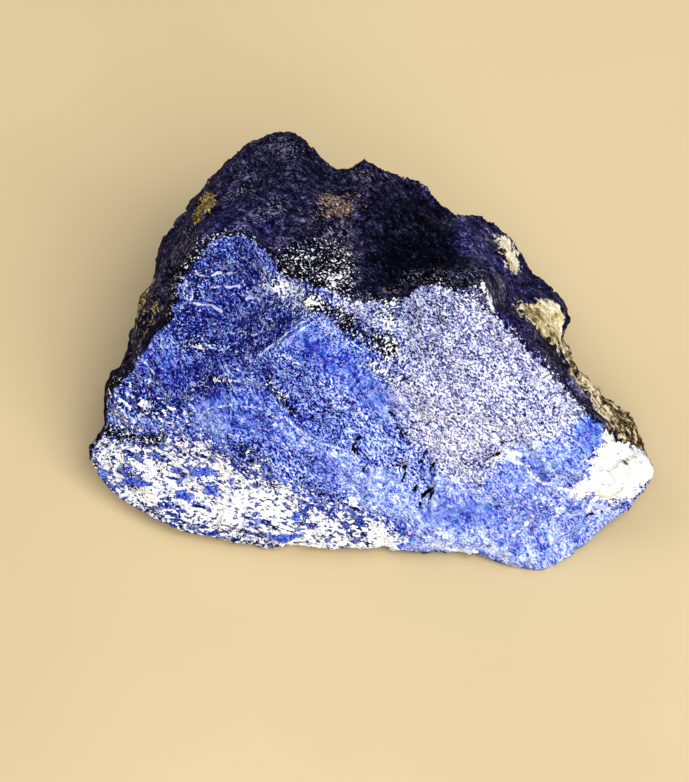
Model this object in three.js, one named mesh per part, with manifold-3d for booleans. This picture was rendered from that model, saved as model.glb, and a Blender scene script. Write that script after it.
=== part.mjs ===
// A hand-sized chunk of rough lapis lazuli: one broken stone resting on its flat underside.
// Millimetres, +Z up, origin under the middle of the stone, on the face that it rests on.
import * as THREE from 'three';
import { mergeVertices } from 'three/addons/utils/BufferGeometryUtils.js';
import Module from 'manifold-3d';

// Driving dimensions.
const faceLean = THREE.MathUtils.degToRad(52);  // how far the broken face's own axis rises from level
const restDrop = 22.8;                          // from the middle of the broken face down to the rest
const traceStep = 2.6;                          // longest gap between points along an edge
const facetEdge = 2.85;                         // longest edge of a finished facet
const chip = { size: 6.5, tilt: 0.13 };         // flat chips left by the break
const lump = { size: 8, height: 0.5 };          // slow swells under the chips
const tooth = { size: 2.6, height: 0.24 };      // sharp small relief
const rimShare = 0.35;                          // part of the relief kept at the sharp outline

// The stone is laid out on its broken front face, seen square on.
// Each point is [across, up the face, out of the face].
const topOutline = [
  [-13.4, 27.1, -19.5], [-11.7, 27.8, -19], [-9.7, 28.9, -18], [-8, 29.3, -17.2], [-6.8, 28.6, -16.9],
  [-5.1, 27.6, -16.5], [-3.9, 25.8, -15.2], [-2, 24.4, -14.7], [-0.8, 23.8, -14.3], [0.4, 24.1, -14.5],
  [2.5, 25.2, -13.4], [4.5, 24.1, -13.1], [8.1, 22.6, -13.2], [9.5, 22.4, -13.8], [11.1, 21.3, -13.6],
  [13, 19.2, -11.9], [14.8, 17.6, -11.2],
];
const rightOutline = [
  [16.6, 17.8, -16], [18.8, 17.7, -18], [20.1, 16.9, -19], [21.1, 15.4, -19.5], [22.7, 13.7, -19],
  [24.1, 11.7, -18.5], [25.6, 10, -18], [28.2, 8, -16], [29.6, 5.5, -14], [30, 2.6, -12.5],
  [29.2, 0.5, -11], [30.6, -2.7, -11], [32, -4.9, -10.5], [33.8, -7.1, -10], [36.4, -8.4, -11],
  [38.2, -9.8, -11.5], [39.3, -12.8, -10], [40.3, -15, -8], [41, -16.6, -7], [40.8, -17.9, -7],
];
const bottomOutline = [
  [39.9, -19.5, -7.5], [37.8, -21.9, -7.5], [34.7, -23.9, -7.5], [33, -25.6, -7.5], [30, -28.8, -6.5],
  [27.9, -29.6, -5.8], [26, -29.9, -5.5], [23.2, -29.4, -5.5], [20.4, -28.8, -5.5], [18.1, -28, -5.8],
  [15.3, -27.5, -6], [12.8, -27.7, -6], [9.2, -27.2, -6], [5, -26.7, -6], [1, -27.2, -6],
  [-2.3, -27, -6], [-6.5, -26.8, -6.2], [-13.6, -26.4, -6.5], [-16.9, -26, -6.5], [-20.1, -25.3, -7],
  [-23.2, -24.3, -7.5], [-26.1, -22.8, -8], [-29.1, -21.3, -9], [-31.3, -19.9, -10],
];
const leftOutline = [
  [-32.5, -18.1, -10.5], [-34, -16.5, -11], [-34.5, -15, -11], [-34.3, -13.8, -11], [-33.1, -12.3, -10.8],
  [-32.3, -11, -10.6], [-32.4, -9, -10.8], [-32, -6.5, -11], [-31.4, -4.4, -11.4], [-29.9, -2.7, -12],
  [-28.8, -0.5, -13], [-28.4, 2, -14], [-27.9, 5.3, -15], [-27.2, 7.2, -15.5], [-26, 8.7, -16],
  [-25, 11.8, -17], [-24.4, 14, -18], [-22.7, 17.2, -19], [-21.2, 18.4, -19.5], [-20.2, 20.2, -20],
  [-18.8, 22, -20.2], [-15.6, 24.8, -20],
];

// Edges, ledges and hollows inside the outline.
const frontLines = {
  crest: [
    [-19.3, 13.5, -1], [-17.3, 14.4, 0], [-13.3, 14.7, 1], [-10, 12, 3], [-6, 9.5, 5], [-3, 7.5, 6],
    [0.7, 6.3, 6.5], [7.3, 6, 6.8], [9.2, 7.5, 7.3], [11.5, 8.1, 7.9], [15.9, 7.4, 7.8], [18.1, 8, 7.4],
  ],
  rightEdge: [
    [18.1, 8, 7.4], [19.3, 4.9, 7], [20.8, 2.7, 6.5], [24.9, -0.8, 5.4], [28.9, -5.1, 4], [32.3, -8.5, 2.5],
    [34.3, -10.7, 1.5], [34.3, -12.8, 0.9],
  ],
  rightFoot: [[21, 5.6, -2], [24.3, 2.8, -3], [27, 0.3, -4], [29.7, -2.7, -5], [31.4, -5.6, -4.5], [34, -8.9, -4]],
  lobeLine: [[14.5, 17.1, -11.2], [16.7, 12.7, -5], [18.1, 8, 7.4]],
  lobeTop: [[18, 14.5, -12.5], [20.5, 10.5, -9.5], [24, 7, -9.5]],
  lobeKnob: [[26.5, 4.5, -8.5]],
  leftEdge: [
    [-19.3, 13.5, -1], [-21.7, 9.7, -2.2], [-23.1, 5.6, -2.5], [-23.3, 3.6, -3], [-25.5, 1.5, -4],
    [-27.6, -1.2, -4.5], [-28.8, -3.3, -5], [-30.5, -5.1, -6.5], [-31.3, -7.4, -8.2],
  ],
  shoulder: [[-19.3, 13.5, -1], [-18.6, 16.5, -5], [-17.2, 19.8, -10], [-15.6, 22.6, -15]],
  leftWaist: [[-25.6, 5.2, -8.5], [-24.2, 9.4, -9.5], [-21.6, 14.2, -10.5], [-28.2, 1, -9]],
  bowlRidge: [
    [0.7, 6.3, 6.5], [-2.7, 4, 6.7], [-6.5, 1.2, 6.2], [-8.8, -0.7, 5.2], [-12, -2.6, 3.2],
  ],
  bowlFloor: [[-19.5, 9.5, -3.4], [-18.5, 5, -4], [-14.5, 3, -2.2], [-13.5, 9, -1.6], [-9, 6.5, 1.2]],
  bowlLip: [[-25.5, 1.5, -4], [-21.5, 0.8, -1.6], [-17, -1.2, 0.6], [-12, -2.6, 3.2]],
  step: [[-12, -2.6, 3.2], [-9.9, -4.4, 2.8], [-8.7, -6.3, 2.3], [-8, -9.4, 1.4]],
  slabEdge: [[-19.2, -8.6, -2], [-15.5, -6.6, 0.2], [-11.5, -6.2, 1.2], [-9.4, -8, 1.3], [-8, -9.4, 1.4],
    [-6.5, -10.9, 1], [-3.7, -12.8, 0.5], [-1.3, -13.7, -0.1], [3.4, -15.2, -0.6]],
  slabDrop: [[-7, -8.2, 0.2], [-5, -10.4, -0.8], [-2.6, -12, -1.3]],
  slabTop: [[-14.5, -10.5, 0], [-9, -13.5, -0.6]],
  leftSlope: [[-26.5, -5, -5], [-22, -4, -2.8], [-27, -11, -7.2], [-21, -12, -4.2]],
  midFace: [[-3.5, 0, 4.3], [-5, -5, 2], [1, -7, 0.6], [4, -11, -0.4]],
  scallop: [[1.5, 2.5, 3.3], [5, 1.5, 2.4], [8.2, 3.2, 3.6], [5.8, -2.6, 1.8]],
  scallopLip: [[10, 2, 5], [9.2, -1.5, 3.6], [8.4, -4.4, 3], [4.6, -5.3, 2.1]],
  sheenEdge: [[8.4, -4.4, 3], [7.6, -8, 1.6], [10, -12, 0.5], [12.7, -16.7, -1.4]],
  sheenFace: [[14, 2, 6], [17, -3, 5], [14, -9, 2.9], [22, -8, 3.6], [27, -9, 2.8], [19.5, -14.5, 0.9],
    [27, -15, 0.6]],
  veinStep: [[18.4, -15.6, 0], [20.2, -14, 0.9], [22, -13.1, 1.4]],
  veinFoot: [[19.6, -16.6, -0.6], [21.6, -15.1, 0.2], [25, -17.4, -0.6]],
  pitRow: [[5.5, -15.2, -1.4], [8, -17.6, -2], [10.8, -18.6, -2.8], [11.3, -20.6, -2.6]],
  lowerFace: [[-25, -17, -7], [-18, -18, -4.6], [-9, -19.5, -3.2], [0, -20, -2.8], [4, -21.5, -3],
    [17, -21.5, -2.4], [24, -22, -2], [30, -20.5, -1.9]],
  calciteLump: [[32.4, -14.8, 0.6], [33.5, -18.4, -0.8], [36.4, -15.4, -0.8], [38.3, -16.8, -3.2],
    [36.4, -18.9, -2.6], [36.6, -12.9, -3.6], [30.8, -24, -4]],
  matrixRidge: [[35.8, -10.1, -6], [37.3, -11.6, -7], [33, -6.2, -7]],
  topHollow: [[7, 9.5, 1.2], [12, 10.8, 0.6], [8.5, 13.2, -4.2], [13, 14, -4.8]],
  topFace: [[-14, 18, -5.5], [-9.5, 16.2, -2.6], [-11.5, 22.5, -11.5], [-6.8, 23.6, -10.8], [-4.8, 19, -6],
    [-3, 13.5, -0.6], [1, 10.4, 1.6], [0.5, 19.2, -8.2], [2.8, 21.6, -9.5], [4, 15, -4.2], [7.3, 18.3, -8.4],
    [10, 17.6, -8.2]],
  frontBelly: [[-29.5, -15.5, -8], [-24, -21.5, -7], [-14, -23.8, -5.2], [-3, -24.5, -4.5], [8, -24.8, -4.3],
    [20, -26.4, -3.9], [27.5, -26.6, -4.2]],
};

// The hidden back and underside, as [x, y, z] above the face that the stone rests on.
const restSink = -1.2;                          // the underside is shaped past the rest, then cut flat
const restOutline = [
  [-22.5, -8.2], [-14, -12], [-4, -12.6], [6, -12.8], [16, -13.6], [24, -15.6], [29.5, -13.4], [33, -6.5],
  [31.5, 1.5], [27, 9], [19.5, 17.5], [10, 25.5], [-1, 30], [-12, 30.5], [-19.5, 24.5], [-23.5, 14], [-27.5, 5],
  [-27.5, -2.5],
];
const backLines = {
  ledgeFoot: [[-21, 27, 11], [-12, 35.5, 14.5], [-4.5, 34.5, 17]],
  backRidge: [[-4.5, 34.5, 17], [-7.5, 36.2, 9], [-8.5, 35, 4]],
  backHollow: [[-15.5, 30.5, 9.5], [-14.5, 31, 5]],
  ledgeOut: [[-7.5, 36.2, 9], [3, 33.6, 8.6], [10.5, 29.8, 8.2], [17.5, 24.6, 7]],
  ledgeIn: [[4, 31.2, 13.6], [11, 27, 12.8], [17.5, 22, 11]],
  rightBack: [[22.5, 20, 9], [27.5, 13.5, 8.5], [33.5, 2, 6.5], [36, -6, 4.5]],
  rightFoot: [[14.5, 25, 3.2], [24, 16, 3.2], [30.5, 6, 3]],
  leftBack: [[-21, 27, 11], [-26, 13.5, 9], [-30.5, 2, 5], [-30, -4.5, 2.4]],
  leftFoot: [[-20.5, 25, 4], [-26.2, 10, 3.4]],
};

// Turns a point laid out on the broken face into the stone's own frame.
function fromFace([across, up, out]) {
  const y = up * Math.sin(faceLean) - out * Math.cos(faceLean);
  const z = up * Math.cos(faceLean) + out * Math.sin(faceLean) + restDrop;
  return new THREE.Vector3(across, y, z);
}

function fromGround([x, y, z]) {
  return new THREE.Vector3(x, y, z);
}

// Where a point of the stone lies on the plane of the broken face.
function toFacePlane(point) {
  const up = point.y * Math.sin(faceLean) + (point.z - restDrop) * Math.cos(faceLean);
  return new THREE.Vector2(point.x, up);
}

// Adds points along a line, so that no gap is longer than traceStep.
function trace(points, closed) {
  const traced = [];
  const last = closed ? points.length : points.length - 1;
  for (let i = 0; i < last; i += 1) {
    const start = points[i];
    const end = points[(i + 1) % points.length];
    const parts = Math.ceil(start.distanceTo(end) / traceStep);
    for (let k = 0; k < parts; k += 1) {
      traced.push(start.clone().lerp(end, k / parts));
    }
  }
  if (!closed) {
    traced.push(points[points.length - 1].clone());
  }
  return traced;
}

// Delaunay triangles of flat points, each corner an index into the list.
function triangulate(flat) {
  const far = 500;
  const corners = [new THREE.Vector2(-far, -far), new THREE.Vector2(far, -far), new THREE.Vector2(0, far)];
  const all = [...flat, ...corners];
  const count = flat.length;
  let triangles = [makeTriangle(all, count, count + 1, count + 2)];
  for (let i = 0; i < count; i += 1) {
    const border = new Map();
    const kept = [];
    for (const triangle of triangles) {
      if (triangle.centre.distanceToSquared(all[i]) >= triangle.reach) {
        kept.push(triangle);
        continue;
      }
      for (let k = 0; k < 3; k += 1) {
        const from = triangle.corners[k];
        const to = triangle.corners[(k + 1) % 3];
        if (!border.delete(`${to} ${from}`)) {
          border.set(`${from} ${to}`, [from, to]);
        }
      }
    }
    for (const [from, to] of border.values()) {
      kept.push(makeTriangle(all, from, to, i));
    }
    triangles = kept;
  }
  return triangles.map((triangle) => triangle.corners).filter((found) => found.every((k) => k < count));
}

function makeTriangle(points, first, second, third) {
  const a = points[first];
  const b = points[second].clone().sub(a);
  const c = points[third].clone().sub(a);
  const twice = 2 * b.cross(c);
  const x = (c.y * b.lengthSq() - b.y * c.lengthSq()) / twice;
  const y = (b.x * c.lengthSq() - c.x * b.lengthSq()) / twice;
  return {
    corners: [first, second, third],
    centre: new THREE.Vector2(a.x + x, a.y + y),
    reach: x * x + y * y,
  };
}

// Whether a flat point lies inside the closed flat outline.
function insideOutline(point, outline) {
  let inside = false;
  for (let i = 0, j = outline.length - 1; i < outline.length; j = i, i += 1) {
    const a = outline[i];
    const b = outline[j];
    if ((a.y > point.y) !== (b.y > point.y)
      && point.x < ((b.x - a.x) * (point.y - a.y)) / (b.y - a.y) + a.x) {
      inside = !inside;
    }
  }
  return inside;
}

// One side of the stone: a sheet of triangles over the outline, through the given points.
function makeSheet(outline, inner, facesOut) {
  const flatOutline = outline.map(toFacePlane);
  const points = [...outline];
  const taken = new Set(points.map(placeKey));
  for (const point of inner) {
    if (!taken.has(placeKey(point))) {
      taken.add(placeKey(point));
      points.push(point);
    }
  }
  const flat = points.map(toFacePlane);
  const triangles = triangulate(flat).filter((corners) => {
    const middle = new THREE.Vector2();
    corners.forEach((k) => middle.addScaledVector(flat[k], 1 / 3));
    return insideOutline(middle, flatOutline);
  });
  return triangles.map((corners) => {
    const [a, b, c] = corners.map((k) => points[k].clone());
    return facesOut ? [a, b, c] : [a, c, b];
  });
}

function placeKey(point) {
  return `${point.x.toFixed(2)} ${point.y.toFixed(2)} ${point.z.toFixed(2)}`;
}

// Splits every edge longer than facetEdge in the middle, until none is left.
function splitLongEdges(triangles) {
  let current = triangles;
  let longEdges = true;
  while (longEdges) {
    longEdges = false;
    const next = [];
    for (const [a, b, c] of current) {
      const sides = [[a, b, c], [b, c, a], [c, a, b]];
      const long = sides.filter(([from, to]) => from.distanceTo(to) > facetEdge);
      if (long.length === 0) {
        next.push([a, b, c]);
        continue;
      }
      longEdges = true;
      next.push(...splitTriangle(sides, long));
    }
    current = next;
  }
  return current;
}

function splitTriangle(sides, long) {
  const middle = (from, to) => from.clone().lerp(to, 0.5);
  if (long.length === 3) {
    const [[a, b, c]] = sides;
    const [ab, bc, ca] = [middle(a, b), middle(b, c), middle(c, a)];
    return [[a, ab, ca], [ab, b, bc], [ca, bc, c], [ab, bc, ca]];
  }
  if (long.length === 1) {
    const [[a, b, c]] = long;
    const ab = middle(a, b);
    return [[a, ab, c], [ab, b, c]];
  }
  const [a, b, c] = sides.find(([from, to]) => from.distanceTo(to) <= facetEdge);
  const [bc, ca] = [middle(b, c), middle(c, a)];
  return [[a, b, bc], [a, bc, ca], [ca, bc, c]];
}

// A steady random number from 0 to 1 for a corner of a lattice.
function chance(x, y, z, seed) {
  const mixed = Math.sin(x * 127.1 + y * 311.7 + z * 74.7 + seed * 53.3) * 43758.5453;
  return mixed - Math.floor(mixed);
}

// Smooth noise from -1 to 1.
function swell(point, size, seed) {
  const [x, y, z] = [point.x / size, point.y / size, point.z / size];
  const [ix, iy, iz] = [Math.floor(x), Math.floor(y), Math.floor(z)];
  const ease = (t) => t * t * (3 - 2 * t);
  const [fx, fy, fz] = [ease(x - ix), ease(y - iy), ease(z - iz)];
  const { lerp } = THREE.MathUtils;
  const row = (dy, dz) => lerp(chance(ix, iy + dy, iz + dz, seed), chance(ix + 1, iy + dy, iz + dz, seed), fx);
  return 2 * lerp(lerp(row(0, 0), row(1, 0), fy), lerp(row(0, 1), row(1, 1), fy), fz) - 1;
}

// Height of the flat, tilted chips that a break leaves: each lattice cell has its own slant.
function chips(point, size, seed) {
  const base = point.clone().divideScalar(size);
  const cell = base.clone().floor();
  const nearest = { gap: Infinity, height: 0 };
  for (let dx = -1; dx <= 1; dx += 1) {
    for (let dy = -1; dy <= 1; dy += 1) {
      for (let dz = -1; dz <= 1; dz += 1) {
        const [x, y, z] = [cell.x + dx, cell.y + dy, cell.z + dz];
        const [jx, jy, jz] = [0, 1, 2].map((k) => chance(x, y, z, seed + k));
        const offset = new THREE.Vector3(x + jx, y + jy, z + jz).sub(base);
        const gap = offset.lengthSq();
        if (gap < nearest.gap) {
          const slant = new THREE.Vector3(jy - 0.5, jz - 0.5, jx - 0.5).multiplyScalar(2);
          nearest.gap = gap;
          nearest.height = offset.dot(slant) * size;
        }
      }
    }
  }
  return nearest.height;
}

// Moves every corner of the mesh along its normal by the stone's relief.
function roughen(geometry, rimKeys) {
  geometry.computeVertexNormals();
  const place = geometry.getAttribute('position');
  const normal = geometry.getAttribute('normal');
  const point = new THREE.Vector3();
  const direction = new THREE.Vector3();
  for (let i = 0; i < place.count; i += 1) {
    point.fromBufferAttribute(place, i);
    direction.fromBufferAttribute(normal, i);
    const share = rimKeys.has(placeKey(point)) ? rimShare : 1;
    const height = chip.tilt * chips(point, chip.size, 3)
      + lump.height * swell(point, lump.size, 11)
      + tooth.height * swell(point, tooth.size, 23);
    point.addScaledVector(direction, height * share);
    place.setXYZ(i, point.x, point.y, point.z);
  }
  geometry.deleteAttribute('normal');
}

// Cuts away what lies below the level z = 0, so that the stone rests on a flat face.
function cutFlat(geometry, wasm) {
  const size = 200;
  const below = new THREE.BoxGeometry(size, size, size);
  below.translate(0, 0, -size / 2);
  const stone = toSolid(geometry, wasm);
  const waste = toSolid(below, wasm);
  const cut = stone.subtract(waste).getMesh();
  const result = new THREE.BufferGeometry();
  result.setAttribute('position', new THREE.BufferAttribute(new Float32Array(cut.vertProperties), 3));
  result.setIndex(new THREE.BufferAttribute(new Uint32Array(cut.triVerts), 1));
  return result;
}

function toSolid(geometry, wasm) {
  const bare = geometry.clone();
  bare.deleteAttribute('normal');
  bare.deleteAttribute('uv');
  const merged = mergeVertices(bare, 1e-4);
  return new wasm.Manifold(new wasm.Mesh({
    numProp: 3,
    vertProperties: new Float32Array(merged.getAttribute('position').array),
    triVerts: new Uint32Array(merged.getIndex().array),
  }));
}

function makeStoneGeometry(wasm) {
  const outlinePoints = [...topOutline, ...rightOutline, ...bottomOutline, ...leftOutline].map(fromFace);
  const outline = trace(outlinePoints, true);
  const front = Object.values(frontLines).flatMap((line) => trace(line.map(fromFace), false));
  const rest = trace(restOutline.map(([x, y]) => fromGround([x, y, restSink])), true);
  const back = Object.values(backLines).flatMap((line) => trace(line.map(fromGround), false));
  const sheets = [
    ...makeSheet(outline, front, true),
    ...makeSheet(outline, [...rest, ...back], false),
  ];
  const triangles = splitLongEdges(sheets);
  const geometry = new THREE.BufferGeometry().setFromPoints(triangles.flat());
  const merged = mergeVertices(geometry, 1e-4);
  const rimKeys = new Set();
  for (let i = 0; i < outline.length; i += 1) {
    const start = outline[i];
    const end = outline[(i + 1) % outline.length];
    rimKeys.add(placeKey(start));
    rimKeys.add(placeKey(start.clone().lerp(end, 0.5)));
  }
  roughen(merged, rimKeys);
  return cutFlat(merged, wasm);
}

// Brings the middle of the stone's footprint over the origin.
function centreOnOrigin(geometry) {
  geometry.computeBoundingBox();
  const { min, max } = geometry.boundingBox;
  geometry.translate(-(min.x + max.x) / 2, -(min.y + max.y) / 2, 0);
}

const wasm = await Module();
wasm.setup();

const stoneGeometry = makeStoneGeometry(wasm);
centreOnOrigin(stoneGeometry);
const stoneMaterial = new THREE.MeshStandardMaterial({ color: 0x2c3f9e, roughness: 0.7, metalness: 0 });
const stone = new THREE.Mesh(stoneGeometry, stoneMaterial);
stone.name = 'lapis_stone';

const model = new THREE.Group();
model.add(stone);

export default model;
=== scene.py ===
import math
from functools import partial

import bmesh
import bpy
import numpy as np
from mathutils import Matrix, Vector


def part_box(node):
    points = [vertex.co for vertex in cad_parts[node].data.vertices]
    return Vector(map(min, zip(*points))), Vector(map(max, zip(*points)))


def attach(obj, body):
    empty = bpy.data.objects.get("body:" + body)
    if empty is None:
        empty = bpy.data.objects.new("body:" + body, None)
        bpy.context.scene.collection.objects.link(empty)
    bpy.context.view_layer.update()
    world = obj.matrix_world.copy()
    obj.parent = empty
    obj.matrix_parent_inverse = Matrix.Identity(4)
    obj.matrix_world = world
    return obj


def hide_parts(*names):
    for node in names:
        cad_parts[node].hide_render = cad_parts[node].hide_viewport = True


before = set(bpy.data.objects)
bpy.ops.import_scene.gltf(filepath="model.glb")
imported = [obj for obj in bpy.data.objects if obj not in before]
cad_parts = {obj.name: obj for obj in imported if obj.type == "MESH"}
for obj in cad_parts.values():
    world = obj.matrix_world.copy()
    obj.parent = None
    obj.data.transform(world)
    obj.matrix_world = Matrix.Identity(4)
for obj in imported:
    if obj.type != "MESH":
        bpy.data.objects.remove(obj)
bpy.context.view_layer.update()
mm = 0.001

# The broken face has its own axes: across to the right, up the slope, out towards the viewer, all in mm.
layout = {
    "lean": math.radians(52),  # how far the face's own axis rises from level
    "drop": 22.8,  # from the middle of the face down to the rest
    "rightTip": 41.2,  # across, at the stone's right end
    "frontToe": -20.4,  # y in the same axes, at the lowest front edge
}
stoneLow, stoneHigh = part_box("lapis_stone")
middleAcross = layout["rightTip"] - stoneHigh.x / mm
middleAway = layout["frontToe"] - stoneLow.y / mm
sinLean, cosLean = math.sin(layout["lean"]), math.cos(layout["lean"])


def toFace(points):
    # metres in the row frame to across, up and out in mm
    across = points[:, 0] / mm + middleAcross
    away = points[:, 1] / mm + middleAway
    rise = points[:, 2] / mm - layout["drop"]
    up = away * sinLean + rise * cosLean
    out = rise * sinLean - away * cosLean
    return np.stack([across, up, out], axis=1)


def fromFace(across, up, out):
    away = up * sinLean - out * cosLean
    rise = up * cosLean + out * sinLean + layout["drop"]
    return Vector((across - middleAcross, away - middleAway, rise)) * mm


# Shared tools for flat outlines and lines on the face, which run across, up, across, up, in mm


def distanceToLine(flat, line):
    # how far each flat point lies from a line
    points = np.reshape(line, (-1, 2))
    best = np.full(len(flat), np.inf)
    for start, step in zip(points[:-1], np.diff(points, axis=0)):
        share = np.clip(((flat - start) @ step) / (step @ step), 0, 1)
        gap = flat - start - share[:, None] * step
        best = np.minimum(best, np.hypot(gap[:, 0], gap[:, 1]))
    return best


def insideBy(flat, outline):
    # how far inside a closed outline a flat point lies, negative outside
    closed = np.reshape([*outline, *outline[:2]], (-1, 2))
    inside = np.zeros(len(flat), bool)
    for (ax, ay), (bx, by) in zip(closed[:-1], closed[1:]):
        if ay == by:
            continue
        crosses = (ay > flat[:, 1]) != (by > flat[:, 1])
        inside ^= crosses & (flat[:, 0] < (bx - ax) * (flat[:, 1] - ay) / (by - ay) + ax)
    gap = distanceToLine(flat, closed)
    return np.where(inside, gap, -gap)


def smoothStep(value, low, high):
    share = np.clip((value - low) / (high - low), 0, 1)
    return share * share * (3 - 2 * share)


# Where each kind of rock lies, as outlines on the face in mm

rockPlaces = {
    "brokenFace": [
        -32, -9.7, -31, -6.5, -28.4, -3.6, -26.6, -1.4, -25, 1.2, -22.8, 3.4, -22.3, 5.6, -21.9, 8.1,
        -19.6, 10.8, -18.3, 12.8, -16.4, 14, -13.2, 14.3, -11, 12.6, -9, 10.6, -9, 9.4, -6, 8.2, -3, 7.2,
        0.5, 5.9, 5, 5.3, 7.3, 5.4, 8.6, 6.4, 9.4, 7.3, 11.5, 7.9, 13.5, 7.2, 15.2, 6.6, 16.8, 5.6,
        18.4, 4.2, 20.8, 2.4, 24.2, -1.2, 28, -5.3, 31.3, -8.6, 33.9, -10.8, 34.4, -13, 44, -14, 44, -34,
        -42, -34, -42, -10.5,
    ],
    "calcite": [
        -44, -10.6, -32.1, -11.2, -28, -12, -22.7, -12.2, -18.5, -12, -15.6, -13.8, -12.4, -16.4,
        -9.6, -17.9, -6.6, -18.6, -5.6, -20.4, -2.6, -21.6, 0.6, -22.4, 3.4, -22.4, 4.6, -23.4, 6.8, -23.9,
        7.5, -26, 7.5, -29, 7, -40, -44, -40,
    ],
    "calciteCorner": [
        34, -11.3, 34.5, -11.6, 36.7, -12.9, 39.3, -14, 40.4, -14.8, 44, -15, 44, -18.6, 40.4, -18.2,
        38.8, -19.9, 36.4, -20.4, 34.8, -20.9, 33.7, -20.4, 32.4, -19.3, 31.3, -20.4, 29.7, -20.1,
        30.1, -18, 31.9, -17.5, 32.4, -15.3, 34, -13.2,
    ],
    "lobeCalcite": [
        22.7, 5.6, 24.2, 5, 24.9, 5.5, 26, 6, 27.5, 6.2, 28.9, 5.4, 29.5, 3.9, 29.4, 2.4, 29.4, 0.2,
        29.8, -1.4, 28.6, -0.6, 27, 0.9, 25.5, 2.2, 23.7, 3.6,
    ],
    "topCalcite": [
        20.5, 14.9, 21.6, 14.2, 22.7, 12.5, 23.6, 10.7, 22.9, 9.6, 21.9, 10.1, 21.4, 11.9, 20.6, 13.2,
    ],
    "matrix": [
        27.6, 0.4, 29.4, -2.2, 31.3, -5.4, 33.2, -8.4, 34.9, -11, 36.3, -12, 38, -13.6, 41, -15, 44, -12,
        44, -4, 36, 0, 31, 2,
    ],
    "sheen": [
        9, 7, 11.5, 8.4, 18.1, 8.2, 19.5, 4.9, 21, 2.7, 25.1, -0.8, 29.1, -5.1, 32.2, -8.6, 30.2, -10.4,
        28, -12, 24.5, -12.6, 21, -14, 19.5, -17, 17.5, -18.6, 14.5, -18, 12.6, -16.6, 11.1, -14.5,
        8.7, -12.9, 6.3, -9.5, 5.2, -5.2, 8.4, -3.3, 10, -0.7, 8.4, 2, 8, 5,
    ],
    "scallop": [
        -1.5, 6.2, 7.5, 6, 8.4, 2, 10, -0.7, 8.4, -3.3, 5.2, -5.2, 1.5, -3, 5.5, -0.8, 5.5, 1.5, 1.5, 3.8,
        -1, 5,
    ],
    "belly": [
        -4.4, -14, 0, -13.8, 3, -16, 7.9, -17, 9, -20, 9.5, -23, 4, -22.5, 1, -20, -3, -18.5, -5, -16,
    ],
    "lowRight": [
        12, -17, 18, -18, 22, -14, 28, -12.5, 32, -14, 32, -18, 38, -22, 31, -31, 24, -32, 12, -29, 5, -28,
        9, -22,
    ],
    "crest": [-9.5, 9.4, -6, 7.6, -2.5, 6.4, 1.5, 6.4, 1, 4.6, -2.5, 4.6, -5.5, 3, -8.2, 4.8],
    "slab": [
        -19, -6.5, -12, -5.8, -9.9, -6.5, -8.5, -9, -5.5, -11.5, -1.8, -13.4, -5, -14.5, -9, -13, -13, -12,
        -19, -11.5,
    ],
    "flake": [-22.8, 8.9, -21.3, 8.9, -20.2, 7.6, -20.2, 6, -21.5, 5.4, -22.8, 6.6],
    "blueCorner": [30.3, -10, 33, -9.4, 34.3, -11, 33.8, -13.2, 31.5, -14.2, 30.4, -12.5],
    "bluePatch": [10.5, -21.6, 14, -21.4, 19, -21, 20, -23, 15, -24, 11, -23.4],
    "bowl": [
        -23, 8, -20.5, 12, -17, 14, -13, 14, -9.5, 11, -8.5, 8, -7, 5, -6, 3.4, -8, 0.2, -12, -2.2, -17, -2,
        -23, 1.5,
    ],
    "stepShade": [-8.4, -6.6, -6, -6.2, -3, -8.2, -0.8, -11.2, -1.4, -13, -4.5, -11.8, -7.2, -9.6],
    "grains": [
        -9.6, 11.6, -6, 13.2, -3, 13.6, 0.2, 12.4, 1.2, 10, 0.4, 7.2, -3, 6, -6, 7, -8.6, 8, -9.6, 9.6,
    ],
    "leftWhite": [-33, -5, -28.5, -4, -24, -6.5, -21, -10, -20, -13, -33, -13],
    "hollow": [3, 10.5, 7, 15.5, 11, 18.5, 14.5, 15, 15.5, 10.5, 13, 8.4, 8, 8.2, 4, 8],
    "leftBand": [-30, -3, -29, 3, -28.2, 8.6, -25.6, 10.6, -24.3, 7, -24.6, 3.4, -26.2, 1, -28, -2],
    "oliveStain": [
        -19, 20.1, -17.4, 20.3, -16.9, 18.9, -18, 17.7, -18.7, 17.6, -19.1, 16.2, -19.9, 16.1, -20.3, 17.4,
        -19.8, 19,
    ],
    "cornerSpot": [36.6, -15.7, 37.5, -14.7, 38.7, -14.4, 38.4, -15.2, 37.2, -16],
    "lowFringe": [-28, -20, -22, -22.2, -15, -23.6, -9, -26, -9, -30, -30, -30],
}
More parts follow.
